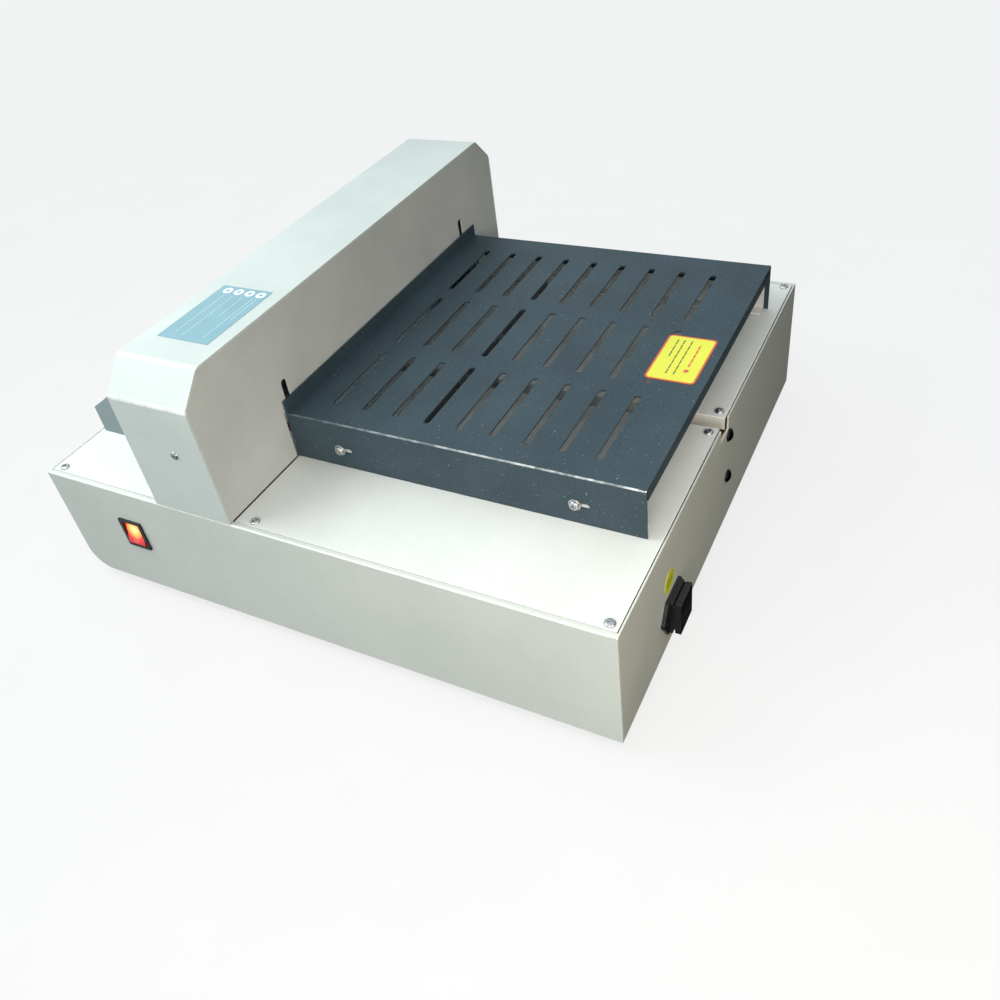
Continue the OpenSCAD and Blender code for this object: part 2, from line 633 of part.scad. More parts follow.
module fuse_drawer() color([0.08, 0.09, 0.10]) at_frame() on_inlet()
    translate([0, -9.6, -10]) {
        linear_extrude(19.5) square([20.8, 5.8], center = true);
        translate([0, 0, 19.4]) linear_extrude(1.2) square([8, 2.4], center = true);
    }

module rear_bolts() color([0.07, 0.07, 0.07]) at_frame()
    for (z = bolt_zs) translate([bolt_x, body_d + 0.05, z]) rotate([-90, 0, 0]) {
        rotate_extrude() difference() {
            union() {
                square([5.6, 1.6]);
                intersection() {
                    translate([0, -3.2]) circle(r = 7.2);
                    translate([0, 1.5]) square([5.6, 4]);
                }
            }
            translate([-10, -10]) square([10, 30]);
            translate([-e, 2]) square([2, 5]);
        }
        translate([0, 0, -11]) cylinder(h = 11 + e, r = 3);
    }

// ---- back gauge ------------------------------------------------------------

module lead_screw() color([0.70, 0.71, 0.72]) at_frame() {
    rod_y(30, body_d - 14, 0, screw_z, 6);
    rod_y(-20, 31, 0, screw_z, 4);
}

module hand_wheel() color([0.10, 0.10, 0.11]) at_frame() translate([0, 0, screw_z]) rotate([90, 0, 0]) {
    difference() {
        union() {
            translate([0, 0, 1]) cylinder(h = 21, r = 10);
            translate([0, 0, 9]) cylinder(h = 4, r = 20);
            translate([0, 0, 6]) rotate_extrude() translate([21, 5]) circle(r = 4.4);
        }
        translate([0, 0, -e]) cylinder(h = 20, r = 4.05);
        translate([0, 0, 19]) cylinder(h = 5, r = 6);
    }
    translate([16, 0, 12]) {
        cylinder(h = 8, r = 3);
        translate([0, 0, 7]) cylinder(h = wheel_out - 19, r1 = 5, r2 = 6);
    }
}

module gauge_carriage() color([0.40, 0.42, 0.44]) at_frame() difference() {
    union() {
        box([-14, gauge_y - 6, rod_z - 12], [14, gauge_y + 26, screw_z + 9.5]);
        box([-5, gauge_y - 2, screw_z + 9], [5, gauge_y + 14, table_z + 1]);
    }
    rod_y(gauge_y - 8, gauge_y + 30, 0, screw_z, 6.06);
    rod_y(gauge_y - 8, gauge_y + 30, 0, rod_z, 6.06);
    for (s = [-1, 1]) box([s * 20 - 11, gauge_y - 8, rod_z + 12], [s * 20 + 11, gauge_y + 30, screw_z - 12]);
}

module back_gauge() color([0.74, 0.75, 0.76]) at_frame() difference() {
    union() {
        box([-168, gauge_y, table_z + 1.01], [130, gauge_y + 3, table_z + 38]);
        box([-168, gauge_y, table_z + 1.01], [130, gauge_y + 20, table_z + 4]);
        for (x = [-130, -50, 20, 95]) along_x(x, x + 3) polygon([
            [gauge_y + 2.9, table_z + 3.9], [gauge_y + 19, table_z + 3.9], [gauge_y + 2.9, table_z + 34]]);
    }
    for (x = [-9, 9]) rod_z(table_z - 1, table_z + 6, x, gauge_y + 12, 2.2);
}

module guide_rod() color([0.72, 0.73, 0.75]) at_frame() rod_y(191, body_d - 14, 0, rod_z, 6);

// a flange on the front panel, a hanger under the bed and a block on the rear panel
module screw_bearings() color([0.50, 0.36, 0.22]) at_frame() {
    difference() {
        box([-16, sheet + 0.2, screw_z - 16], [16, 20, screw_z + 14]);
        rod_y(0, 30, 0, screw_z, 4.06);
    }
    difference() {
        box([-18, 190, rod_z - 12], [18, 204, bed_z0 - 0.1]);
        rod_y(180, 210, 0, screw_z, 8);
        rod_y(180, 210, 0, rod_z, 6.02);
    }
    difference() {
        box([-20, body_d - 28, rod_z - 12], [16, body_d - sheet - 0.2, screw_z + 11]);
        for (z = [screw_z, rod_z]) rod_y(body_d - 30, body_d - 13, 0, z, 6.06);
        for (z = bolt_zs) rod_y(body_d - 12, body_d, bolt_x, z, 3.05);
    }
}

// ---- electrics -------------------------------------------------------------

// a board on four posts, with a transformer, heat sink, relays and capacitors
module control_board() color([0.10, 0.34, 0.20]) at_frame() translate([-200, 350, foot_h + sheet]) {
    translate([0, 0, 10]) cube([138, 100, 1.6]);
    for (x = [5, 133], y = [5, 95]) translate([x, y, 0.1]) cylinder(h = 10, r = 3);
    translate([8, 40, 11.5]) cube([48, 42, 6]);
    translate([12, 45, 17.4]) cube([40, 32, 30]);
    for (i = [0 : 6]) translate([66, 46 + i * 6, 11.5]) cube([30, 1.6, 26]);
    translate([66, 46, 11.5]) cube([30, 37.6, 3]);
    for (i = [0 : 3]) translate([12 + i * 20, 12, 11.5]) cube([16, 12, 15]);
    for (i = [0 : 2]) translate([112, 45 + i * 18, 11.5]) cylinder(h = 24, r = 7);
    translate([128, 30, 11.5]) cube([9, 55, 9]);
}

function unit(v) = v / norm(v);
function heading(p, i) = unit(p[min(i + 1, len(p) - 1)] - p[max(i - 1, 0)]);
function ring(p, i) = let (t = heading(p, i), a = unit(cross(t, [0, 1, 0.35])), b = cross(a, t))
    [for (k = [0 : 7]) p[i] + wire_r * (cos(45 * k) * a + sin(45 * k) * b)];

// one insulated wire through a list of points
module wire(p) {
    last = len(p) - 1;
    polyhedron(points = [for (i = [0 : last]) each ring(p, i)], faces = concat(
        [[for (k = [7 : -1 : 0]) k]],
        [[for (k = [0 : 7]) last * 8 + k]],
        [for (i = [0 : last - 1], k = [0 : 7]) let (m = (k + 1) % 8) [i * 8 + k, i * 8 + m, i * 8 + 8 + m]],
        [for (i = [0 : last - 1], k = [0 : 7]) let (m = (k + 1) % 8) [i * 8 + k, i * 8 + 8 + m, i * 8 + 8 + k]]));
}

module wiring_loom() color([0.12, 0.12, 0.14]) at_frame() {
    wire([[140, 504.5, 40], [138, 500, 20], [100, 480, 16], [-48, 424, 26], [-62.6, 424, 27]]);
    wire([[208, 291.5, 60], [205, 305, 40], [170, 320, 17], [-46, 408, 26], [-62.6, 408, 27]]);
    wire([[213, 84, 60], [190, 90, 30], [140, 104, 16], [100, 240, 16], [-44, 388, 26], [-62.6, 388, 27]]);
}

bottom_plate();
front_panel();
side_panel_right();
side_panel_left();
rear_panel();
rubber_feet();
front_table();
rear_table_right();
rear_table_left();
table_screws();
table_bed();
cutting_stick();
cheek_right();
cheek_left();
cross_beam();
hood_cover();
hood_front_plate();
hood_rear_plate();
hood_screws();
control_console();
display_window();
key_forward();
key_back();
key_clamp();
cut_button_right();
cut_button_left();
stop_collar();
stop_button();
throat_guard();
guard_pin();
rear_cover();
cover_brackets();
cover_screws();
switch_bezel();
power_rocker();
power_inlet();
inlet_pins();
fuse_drawer();
rear_bolts();
knife_carrier();
knife_blade();
drive_racks();
drive_shaft();
shaft_bearings();
worm_gearbox();
drive_motor();
clamp_beam();
clamp_screw();
clamp_bridge();
clamp_motor();
motor_pinion();
lead_screw();
hand_wheel();
gauge_carriage();
back_gauge();
guide_rod();
screw_bearings();
labels();
control_board();
wiring_loom();
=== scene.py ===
"""Looks of an electric desktop paper cutter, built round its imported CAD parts.

Every sheet-metal panel is a copy of its CAD part with folded, rounded edges; the
screws, labels, threads and switch marks are made here. Sizes are in metres.
"""

import json
import math

import bmesh
import bpy
from mathutils import Matrix, Vector
from mathutils.bvhtree import BVHTree


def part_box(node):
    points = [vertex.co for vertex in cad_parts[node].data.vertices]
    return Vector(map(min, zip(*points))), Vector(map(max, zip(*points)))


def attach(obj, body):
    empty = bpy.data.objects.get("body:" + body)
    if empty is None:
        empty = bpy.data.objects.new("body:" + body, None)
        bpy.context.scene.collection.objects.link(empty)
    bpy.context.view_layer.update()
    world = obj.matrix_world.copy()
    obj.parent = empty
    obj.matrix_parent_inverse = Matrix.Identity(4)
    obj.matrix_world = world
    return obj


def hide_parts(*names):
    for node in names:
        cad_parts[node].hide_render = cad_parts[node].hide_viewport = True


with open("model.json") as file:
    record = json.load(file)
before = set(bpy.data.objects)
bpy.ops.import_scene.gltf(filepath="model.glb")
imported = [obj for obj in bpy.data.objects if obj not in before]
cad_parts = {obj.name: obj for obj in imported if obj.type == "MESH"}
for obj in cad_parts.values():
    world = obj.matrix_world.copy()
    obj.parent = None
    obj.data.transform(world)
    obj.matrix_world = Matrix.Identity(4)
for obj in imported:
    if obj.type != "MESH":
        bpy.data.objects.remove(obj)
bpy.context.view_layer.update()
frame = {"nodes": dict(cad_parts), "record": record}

MM = 0.001
SLOT_OF = {p["node"]: p["material_slot"] for p in frame["record"]["subparts"]}
BODY_OF = {n: b for b, ns in frame["record"]["behaviour"]["bodies"].items() for n in ns}

# ---- camera ------------------------------------------------------------------

FORWARD = Vector((-0.64669, -0.42615, -0.63260))
RIGHT = Vector((-0.45516, 0.88112, -0.12828))
CAMERA_AT = Vector((0.59755, 0.43790, 0.58270))
LENS_MM = 33.257
LENS_SHIFT = (0.0169, -0.0172)
NEAREST_SEEN = 0.01


def set_camera():
    camera = bpy.data.objects.new("camera", bpy.data.cameras.new("camera"))
    bpy.context.scene.collection.objects.link(camera)
    up = RIGHT.cross(FORWARD)
    turn = Matrix((RIGHT, up, -FORWARD)).transposed().to_4x4()
    camera.matrix_world = Matrix.Translation(CAMERA_AT) @ turn
    camera.data.lens = LENS_MM
    camera.data.shift_x, camera.data.shift_y = LENS_SHIFT
    camera.data.clip_start = NEAREST_SEEN
    bpy.context.scene.camera = camera


# ---- light and floor ---------------------------------------------------------

BRIGHT_SIDE = Vector((0.22, -0.58, 0.78))
DOME_COLOUR = (0.90, 1.0, 1.04, 1)
DOME_MEAN = 0.43
DOME_SWING = 0.90
# name: place, aim, size, watts, colour
LAMPS = {
    "front": ((0.32, -0.42, 0.80), (0.16, -0.16, 0.12), 0.35, 3.4, (0.96, 1.0, 1.0)),
    "side": ((0.78, 0.36, 0.36), (0.24, 0.14, 0.08), 0.3, 2.0, (1.0, 0.97, 0.90)),
    "rear": ((0.42, 0.72, 0.46), (0.24, 0.16, 0.10), 0.3, 2.4, (1.0, 0.86, 0.68)),
}
# radius and height in mm, from under the machine out and up to the far wall and over
SWEEP = [(0, 0), (5000, 0), (6000, 150), (7000, 600), (7800, 1400),
         (8300, 2800), (8500, 6000), (8500, 9000), (0, 9500)]
SWEEP_STEPS = 64
PAPER_GLOW = 0.765


def add_light(name, at, aim, size, watts, colour):
    data = bpy.data.lights.new(name, "AREA")
    data.size, data.energy, data.color = size, watts, colour
    lamp = bpy.data.objects.new(name, data)
    lamp.location = at
    lamp.rotation_euler = (Vector(aim) - Vector(at)).to_track_quat("-Z", "Y").to_euler()
    bpy.context.scene.collection.objects.link(lamp)


def set_studio():
    """A soft dome, brightest above and in front, with three lamps for the fall-off."""
    world = bpy.data.worlds.new("studio")
    world.use_nodes = True
    bpy.context.scene.world = world
    bpy.context.scene.view_settings.view_transform = "Standard"
    tree = world.node_tree
    way = tree.nodes.new("ShaderNodeTexCoord")
    facing = tree.nodes.new("ShaderNodeVectorMath")
    facing.operation = "DOT_PRODUCT"
    facing.inputs[1].default_value = BRIGHT_SIDE
    tree.links.new(way.outputs["Generated"], facing.inputs[0])
    level = tree.nodes.new("ShaderNodeMapRange")
    level.inputs["From Min"].default_value = -1.0
    level.inputs["To Min"].default_value = DOME_MEAN - DOME_SWING
    level.inputs["To Max"].default_value = DOME_MEAN + DOME_SWING
    tree.links.new(facing.outputs["Value"], level.inputs["Value"])
    lowest = tree.nodes.new("ShaderNodeMath")
    lowest.operation = "MAXIMUM"
    lowest.inputs[1].default_value = 0.0
    tree.links.new(level.outputs[0], lowest.inputs[0])
    tree.links.new(lowest.outputs[0], tree.nodes["Background"].inputs["Strength"])
    tree.nodes["Background"].inputs["Color"].default_value = DOME_COLOUR
    for name, lamp in LAMPS.items():
        add_light(name, *lamp)


def set_floor():
    """A pale paper sweep that rises into a far wall, and adds no light to the machine."""
    bm = turned(SWEEP, SWEEP_STEPS)
    data = bpy.data.meshes.new("floor")
    bm.to_mesh(data)
    bm.free()
    floor = bpy.data.objects.new("floor", data)
    bpy.context.scene.collection.objects.link(floor)
    paper = Shader("floor_paper", Roughness=0.9)
    paper.bsdf.inputs["Specular IOR Level"].default_value = 0.1
    tone = paper.cloud(90, 2)
    paper.colour(paper.mix(tone, tint(96, 96, 96), tint(99, 99, 99)))
    paper.glow((1.0, 1.0, 1.0, 1), PAPER_GLOW)
    data.materials.append(paper.mat)
    floor.visible_diffuse = floor.visible_glossy = floor.visible_shadow = False


# ---- materials ---------------------------------------------------------------


def tint(r, g, b):
    """A colour from its 0 to 255 display values."""
    linear = [c / 255 / 12.92 if c < 11 else ((c / 255 + 0.055) / 1.055) ** 2.4 for c in (r, g, b)]
    return (*linear, 1.0)


def shade(colour, factor, lift=0):
    """A display colour made darker or lighter, and never brighter than white."""
    return tint(*(min(255, c * factor + lift) for c in colour))


class Shader:
    """A Principled material built from noises in the object's own millimetres."""

    def __init__(self, name, **sockets):
        self.mat = bpy.data.materials.new(name)
        self.mat.use_nodes = True
        self.tree = self.mat.node_tree
        self.bsdf = self.tree.nodes["Principled BSDF"]
        self.place = self.add("ShaderNodeTexCoord").outputs["Object"]
        self.normal = None
        for socket, value in sockets.items():
            self.bsdf.inputs[socket.replace("_", " ")].default_value = value

    def add(self, kind, inputs=(), **settings):
        node = self.tree.nodes.new(kind)
        for key, value in settings.items():
            setattr(node, key, value)
        for key, value in dict(inputs).items():
            if isinstance(value, bpy.types.NodeSocket):
                self.tree.links.new(value, node.inputs[key])
            else:
                node.inputs[key].default_value = value
        return node

    def noise(self, size, detail=3.0, rough=0.55, stretch=(1, 1, 1), skew=0.0):
        """Noise with features about size mm across, longer along an axis whose stretch is under 1."""
        at = self.add("ShaderNodeMapping", {
            "Vector": self.place, "Scale": stretch, "Location": (skew, skew, 0)})
        made = self.add("ShaderNodeTexNoise", {
            "Vector": at.outputs[0], "Scale": 1 / (size * MM), "Detail": detail,
            "Roughness": rough})
        return made.outputs["Fac"]

    def cloud(self, size, detail, low=0, high=1):
        """Noise that runs from low to high over the middle of its swing."""
        return self.spread(self.noise(size, detail), 0.3, 0.7, low, high)

    def spread(self, value, low, high, to_low, to_high):
        return self.add("ShaderNodeMapRange", {
            "Value": value, "From Min": low, "From Max": high,
            "To Min": to_low, "To Max": to_high}).outputs[0]

    def mix(self, factor, a, b):
        return self.add("ShaderNodeMix", {0: factor, 6: a, 7: b}, data_type="RGBA").outputs[2]

    def math(self, kind, a, b=0.5):
        return self.add("ShaderNodeMath", {0: a, 1: b}, operation=kind).outputs[0]

    def times(self, a, b):
        return self.math("MULTIPLY", a, b)

    def fold(self):
        """1 on the rounded edges, 0 elsewhere."""
        return self.add("ShaderNodeAttribute", attribute_name="fold").outputs["Fac"]

    def along(self, axis):
        parts = self.add("ShaderNodeSeparateXYZ", {0: self.place})
        return parts.outputs["XYZ".index(axis)]

    def bump(self, height, depth):
        """Adds a relief depth mm deep."""
        node = self.add("ShaderNodeBump", {"Height": height, "Distance": depth * MM, "Strength": 1.0})
        if self.normal is not None:
            self.tree.links.new(self.normal, node.inputs["Normal"])
        self.normal = node.outputs[0]
        self.tree.links.new(self.normal, self.bsdf.inputs["Normal"])

    def colour(self, socket):
        self.tree.links.new(socket, self.bsdf.inputs["Base Color"])

    def rough(self, socket):
        self.tree.links.new(socket, self.bsdf.inputs["Roughness"])

    def glow(self, colour, strength):
        if isinstance(colour, bpy.types.NodeSocket):
            self.tree.links.new(colour, self.bsdf.inputs["Emission Color"])
        else:
            self.bsdf.inputs["Emission Color"].default_value = colour
        self.bsdf.inputs["Emission Strength"].default_value = strength


def paint(name, light, dark, gloss=0.42, grain=0.03, specks=0.22, fold_colour=(225, 226, 222)):
    """Satin powder coat: clouded colour, orange peel, dust specks and edges rubbed lighter."""
    s = Shader(name)
    base = s.mix(s.spread(s.noise(85, 4), 0.32, 0.68, 0, 1), tint(*dark), tint(*light))
    fine = s.cloud(0.9, 2, 0, 0.16)
    base = s.mix(fine, base, shade(dark, 0.84))
    dust = s.times(s.spread(s.noise(1.7, 1, skew=0.3), 0.70, 0.76, 0, 1), specks)
    base = s.mix(dust, base, shade(dark, 0.62))
    paler_folds = s.times(s.fold(), s.spread(s.noise(6, 4), 0.35, 0.62, 0.25, 0.85))
    s.colour(s.mix(paler_folds, base, tint(*fold_colour)))
    s.rough(s.cloud(3.5, 3, gloss - 0.05, gloss + 0.09))
    s.bump(s.noise(1.3, 2), grain)
    s.bump(s.noise(40, 1), 0.12)
    return s.mat


def powder(name, light, dark, fold_colour):
    """Coarse textured powder coat with pale specks and a painted highlight on its near top folds."""
    s = Shader(name, Specular_IOR_Level=0.3)
    base = s.mix(s.cloud(60, 4), tint(*dark), tint(*light))
    cell = s.noise(1.1, 3, 0.6)
    base = s.mix(s.spread(cell, 0.35, 0.65, 0, 0.5), base, shade(dark, 0.72))
    pale = s.times(s.spread(s.noise(1.6, 1, skew=0.7), 0.745, 0.775, 0, 1), 0.75)
    base = s.mix(pale, base, tint(196, 204, 206))
    # painted highlight: near-side top folds are paled, more toward the rear, for light catching those
    # edges
    highlight_toward_rear = s.spread(s.along("Y"), -0.03, 0.25, 0.12, 0.95)
    highlight_near_side = s.spread(s.along("X"), 0.138, 0.143, 0.1, 1)
    highlight_near_top = s.times(highlight_near_side, s.spread(s.along("Z"), 0.160, 0.164, 0.25, 1))
    paler_folds = s.times(s.times(s.fold(), highlight_near_top), highlight_toward_rear)
    paler_folds = s.times(paler_folds, s.spread(s.noise(9, 5), 0.40, 0.58, 0.25, 1))
    s.colour(s.mix(paler_folds, base, tint(*fold_colour)))
    s.rough(s.cloud(2.4, 3, 0.38, 0.56))
    s.bump(cell, 0.09)
    return s.mat


def metal(name, colour, gloss=0.3, grain=0.6, stretch=(0.04, 1, 1), relief=0.01, stain=0.25):
    """Bare metal with drawn or ground lines, darker stains and bright edges."""
    s = Shader(name, Metallic=1.0)
    lines = s.noise(grain, 3, 0.6, stretch)
    base = s.mix(s.spread(lines, 0.3, 0.7, 0, 0.5), tint(*colour), shade(colour, 0.78))
    marks = s.times(s.spread(s.noise(16, 5), 0.52, 0.72, 0, 1), stain)
    base = s.mix(marks, base, shade(colour, 0.55))
    s.colour(s.mix(s.times(s.fold(), 0.6), base, shade(colour, 1.2)))
    s.rough(s.spread(lines, 0.3, 0.7, gloss - 0.07, gloss + 0.12))
    s.bump(lines, relief)
    return s.mat


def cast(name, colour, gloss=0.6):
    """Rough cast or sintered metal."""
    s = Shader(name, Metallic=0.55)
    grit = s.noise(1.4, 5, 0.65)
    base = s.mix(s.spread(grit, 0.3, 0.7, 0, 1), shade(colour, 0.76), tint(*colour))
    paler_folds = s.times(s.fold(), s.spread(s.noise(4, 4), 0.4, 0.6, 0.2, 0.9))
    s.colour(s.mix(paler_folds, base, shade(colour, 1.35)))
    s.rough(s.cloud(5, 4, gloss - 0.1, gloss + 0.12))
    s.bump(grit, 0.12)
    return s.mat


def plastic(name, colour, gloss=0.35, texture=0.02, smudge=0.12, coat=0.0):
    """Moulded plastic with a spark-eroded texture, finger smudges and paler worn edges."""
    s = Shader(name, Coat_Weight=coat)
    base = s.mix(s.cloud(22, 4), shade(colour, 0.86), tint(*colour))
    base = s.mix(s.spread(s.noise(0.7, 2), 0.45, 0.75, 0, 0.3), base, shade(colour, 0.8))
    paler_folds = s.times(s.fold(), s.spread(s.noise(3, 4), 0.4, 0.62, 0.05, 0.5))
    s.colour(s.mix(paler_folds, base, shade(colour, 1.25, 28)))
    s.rough(s.cloud(9, 4, gloss, gloss + smudge))
    s.bump(s.noise(0.5, 2), texture)
    return s.mat


def clear(name, colour):
    """Clear acrylic with a faint tint and hairline scratches."""
    s = Shader(name, Transmission_Weight=0.94, IOR=1.49)
    hair = s.noise(0.8, 2, 0.5, (0.03, 1, 1))
    s.colour(s.mix(s.spread(s.noise(30, 3), 0.35, 0.65, 0, 1), tint(*colour), shade(colour, 0.93)))
    s.rough(s.spread(hair, 0.6, 0.7, 0.04, 0.2))
    s.bump(hair, 0.004)
    return s.mat


def film(name, colour, print_tone=0.93, gloss=0.28):
    """Printed label film with ink grain and a slightly waved laminate."""
    s = Shader(name, Coat_Weight=0.4, Coat_Roughness=0.18)
    ink = s.mix(s.cloud(0.45, 2), shade(colour, print_tone), tint(*colour))
    fade = s.spread(s.noise(26, 3), 0.35, 0.7, 0, 0.35)
    s.colour(s.mix(fade, ink, shade(colour, 1.04, 6)))
    s.rough(s.cloud(6, 3, gloss, gloss + 0.12))
    s.bump(s.noise(12, 2), 0.05)
    return s.mat


# the lamp's light from its middle (0) outward (1)
LAMP_COLOURS = [
    (0.0, (1.0, 0.80, 0.34, 1)), (0.38, (1.0, 0.36, 0.04, 1)),
    (0.68, (0.36, 0.012, 0.01, 1)), (1.0, (0.05, 0.001, 0.001, 1)),
]
LAMP_INNER, LAMP_OUTER = 0.002, 0.0145
LAMP_UNDER_TOP = 0.0075
LAMP_STRENGTH = 1.7


def lit_rocker(name, node):
    """Red translucent plastic with its lamp glowing behind the upper half."""
    low, high = (Vector(v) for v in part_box(node))
    s = Shader(name, Subsurface_Weight=0.25, Coat_Weight=0.35)
    s.bsdf.inputs["Subsurface Radius"].default_value = (0.004, 0.001, 0.0008)
    lamp = Vector((high.x, (low.y + high.y) / 2 + 0.0005, high.z - LAMP_UNDER_TOP))
    gone = s.add("ShaderNodeVectorMath", {0: s.place, 1: tuple(lamp)}, operation="DISTANCE")
    gone = gone.outputs["Value"]
    gone = s.math("ADD", gone, s.spread(s.noise(2.2, 3), 0, 1, -0.0015, 0.0015))
    s.colour(s.mix(s.cloud(3, 3), tint(190, 24, 26), tint(222, 40, 38)))
    ramp = s.add("ShaderNodeValToRGB", {0: s.spread(gone, LAMP_INNER, LAMP_OUTER, 0, 1)})
    stops = ramp.color_ramp.elements
    for position, _ in LAMP_COLOURS[1:-1]:
        stops.new(position)
    for stop, (_, colour) in zip(stops, LAMP_COLOURS):
        stop.color = colour
    s.glow(ramp.outputs[0], LAMP_STRENGTH)
    s.rough(s.cloud(4, 3, 0.2, 0.32))
    s.bump(s.noise(0.5, 2), 0.01)
    return s.mat


# slot: kind of finish, then its colours and settings
FINISHES = {
    "panel_paint": (paint, (206, 209, 201), (196, 200, 193), 0.34),
    "table_paint": (paint, (222, 223, 219), (213, 214, 210), 0.40),
    "hood_paint": (paint, (203, 210, 205), (192, 200, 196), 0.34),
    "hood_rear_paint": (paint, (197, 199, 196), (183, 186, 184), 0.40, 0.05, 0.3),
    # cover_paint's last colour is the painted highlight on its near top folds
    "cover_paint": (powder, (60, 78, 87), (50, 66, 75), (206, 210, 208)),
    "console_paint": (paint, (150, 166, 168), (136, 152, 155), 0.36),
    "plate_steel": (metal, (158, 160, 158), 0.42, 1.2, (0.2, 1, 1)),
    "machined_steel": (metal, (168, 170, 172), 0.30, 0.7, (0.03, 1, 1)),
    "blade_steel": (metal, (196, 199, 204), 0.16, 0.35, (1, 1, 0.03)),
    "bright_screws": (metal, (206, 207, 208), 0.24, 0.5, (1, 1, 1), 0.01, 0.15),
    "cast_frame": (cast, (122, 126, 130)),
    "clamp_alloy": (metal, (172, 174, 176), 0.34, 0.8, (0.05, 1, 1)),
    "gauge_alloy": (metal, (190, 192, 193), 0.36, 0.6, (0.03, 1, 1)),
    "bronze": (metal, (196, 160, 92), 0.34, 1.0, (1, 1, 1), 0.02, 0.4),
    "gear_housing": (cast, (98, 104, 110)),
    "motor_case": (paint, (70, 74, 80), (58, 62, 68), 0.45, 0.05, 0.3, (120, 122, 124)),
    "feet_rubber": (plastic, (34, 34, 35), 0.72, 0.06),
    "stick_plastic": (plastic, (186, 34, 30), 0.4, 0.03),
    "guard_clear": (clear, (226, 240, 242)),
    "label_film": (film, (238, 220, 48)),
    "display_black": (plastic, (16, 18, 22), 0.12, 0.004, 0.1, 0.5),
    "key_blue": (plastic, (44, 96, 164), 0.34),
    "key_grey": (plastic, (196, 198, 198), 0.36),
    "button_green": (plastic, (30, 142, 66), 0.28, 0.012, 0.1, 0.3),
    "stop_red": (plastic, (192, 24, 20), 0.26, 0.01, 0.1, 0.3),
    "stop_yellow": (plastic, (226, 188, 30), 0.32),
    "rocker_red": (lit_rocker, "power_rocker"),
    "black_plastic": (plastic, (24, 26, 28), 0.3, 0.02),
    "bolt_black": (metal, (58, 58, 60), 0.30, 0.8, (1, 1, 1), 0.01, 0.3),
    "board_green": (plastic, (34, 104, 62), 0.42, 0.03),
    "wire_cover": (plastic, (34, 34, 40), 0.4, 0.02),
}
MATERIALS = {slot: make(slot, *settings) for slot, (make, *settings) in FINISHES.items()}

# ---- mesh helpers ------------------------------------------------------------


WELD = 2e-6
FLAT_WITHIN = math.radians(0.4)
SHARP_OVER = math.radians(38)
CORNER_OVER = math.radians(30)
FOLD_SEGMENTS = 4
# sheet folds are bends longer than this, in mm
FOLD_SPAN = 30
# a sheet fold's two faces both run back at least this many fold radii
FOLD_REACH = 2.2
EDGE_SEGMENTS = 2


def read(node):
    """A CAD node's mesh with its flat areas merged back into whole faces."""
    bm = bmesh.new()
    bm.from_mesh(frame["nodes"][node].data)
    bmesh.ops.remove_doubles(bm, verts=bm.verts, dist=WELD)
    bmesh.ops.dissolve_limit(bm, angle_limit=FLAT_WITHIN, verts=bm.verts, edges=bm.edges)
    return bm


def piece(name, bm, node, material=None, cleared=True):
    """A shown piece that rides with a CAD node and takes its finish from that node's slot."""
    data = bpy.data.meshes.new(name)
    bm.to_mesh(data)
    bm.free()
    data.polygons.foreach_set("use_smooth", [True] * len(data.polygons))
    data.set_sharp_from_angle(angle=SHARP_OVER)
    obj = bpy.data.objects.new(name, data)
    bpy.context.scene.collection.objects.link(obj)
    data.materials.clear()
    data.materials.append(material or MATERIALS[SLOT_OF[node]])
    smooth = obj.modifiers.new("weighted", "WEIGHTED_NORMAL")
    smooth.keep_sharp = True
    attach(obj, BODY_OF[node])
    if cleared:
        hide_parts(node)
    return obj


def bevel(bm, edges, width, steps, layer):
    """Rounds edges by width mm and marks the new faces in layer."""
    made = bmesh.ops.bevel(bm, geom=edges, offset=width * MM, offset_type="OFFSET",
                           segments=steps, profile=0.5, affect="EDGES", clamp_overlap=True)
    for face in made["faces"]:
        face[layer] = 1.0


def reach(face, edge):
    """How far a face runs back from one of its edges, on average."""
    return face.calc_area() / edge.calc_length()


def corners(bm):
    return [e for e in bm.edges if len(e.link_faces) == 2 and e.calc_face_angle(0) > CORNER_OVER]


def rounded(node, fold, edge):
    """A CAD node with its sheet folds bent to a fold mm radius and its other edges eased by
    edge mm."""
    bm = read(node)
    bmesh.ops.connect_verts_concave(bm, faces=bm.faces)
    layer = bm.faces.layers.float.new("fold")
    if fold:
        bends = [e for e in corners(bm) if e.is_convex and e.calc_length() > FOLD_SPAN * MM
                 and min(reach(f, e) for f in e.link_faces) > FOLD_REACH * fold * MM]
        bevel(bm, bends, fold, FOLD_SEGMENTS, layer)
    rest = [e for e in corners(bm) if min(f[layer] for f in e.link_faces) < 0.5]
    bevel(bm, rest, edge, EDGE_SEGMENTS, layer)
    many_sided = [f for f in bm.faces if len(f.verts) > 4]
    bmesh.ops.triangulate(bm, faces=many_sided, ngon_method="EAR_CLIP")
    return piece(node + "_shape", bm, node)


def islands(node):
    """The lowest and highest corners of each separate solid in a CAD node."""
    bm, boxes = read(node), []
    left = set(bm.verts)
    while left:
        group, edge = set(), {left.pop()}
        while edge:
            group |= edge
            edge = {e.other_vert(v) for v in edge for e in v.link_edges} - group
        left -= group
        points = [v.co for v in group]
        boxes.append(tuple(Vector(f(p[i] for p in points) for i in range(3)) for f in (min, max)))
    bm.free()
    return sorted(boxes, key=lambda b: tuple(b[0]))


def polar(radius, turn, height):
    """A point in metres from a radius and a height in mm and a share of a full turn."""
    a = 2 * math.pi * turn
    return Vector((radius * MM * math.cos(a), radius * MM * math.sin(a), height * MM))


def bridge(bm, low, high):
    """Faces between two rings of corners, where a ring of one corner is a tip."""
    steps = max(len(low), len(high))
    for i in range(steps):
        j = (i + 1) % steps
        loop = [low[i % len(low)], low[j % len(low)], high[j % len(high)], high[i % len(high)]]
        loop = [v for k, v in enumerate(loop) if v not in loop[:k]]
        if len(loop) > 2:
            bm.faces.new(loop)


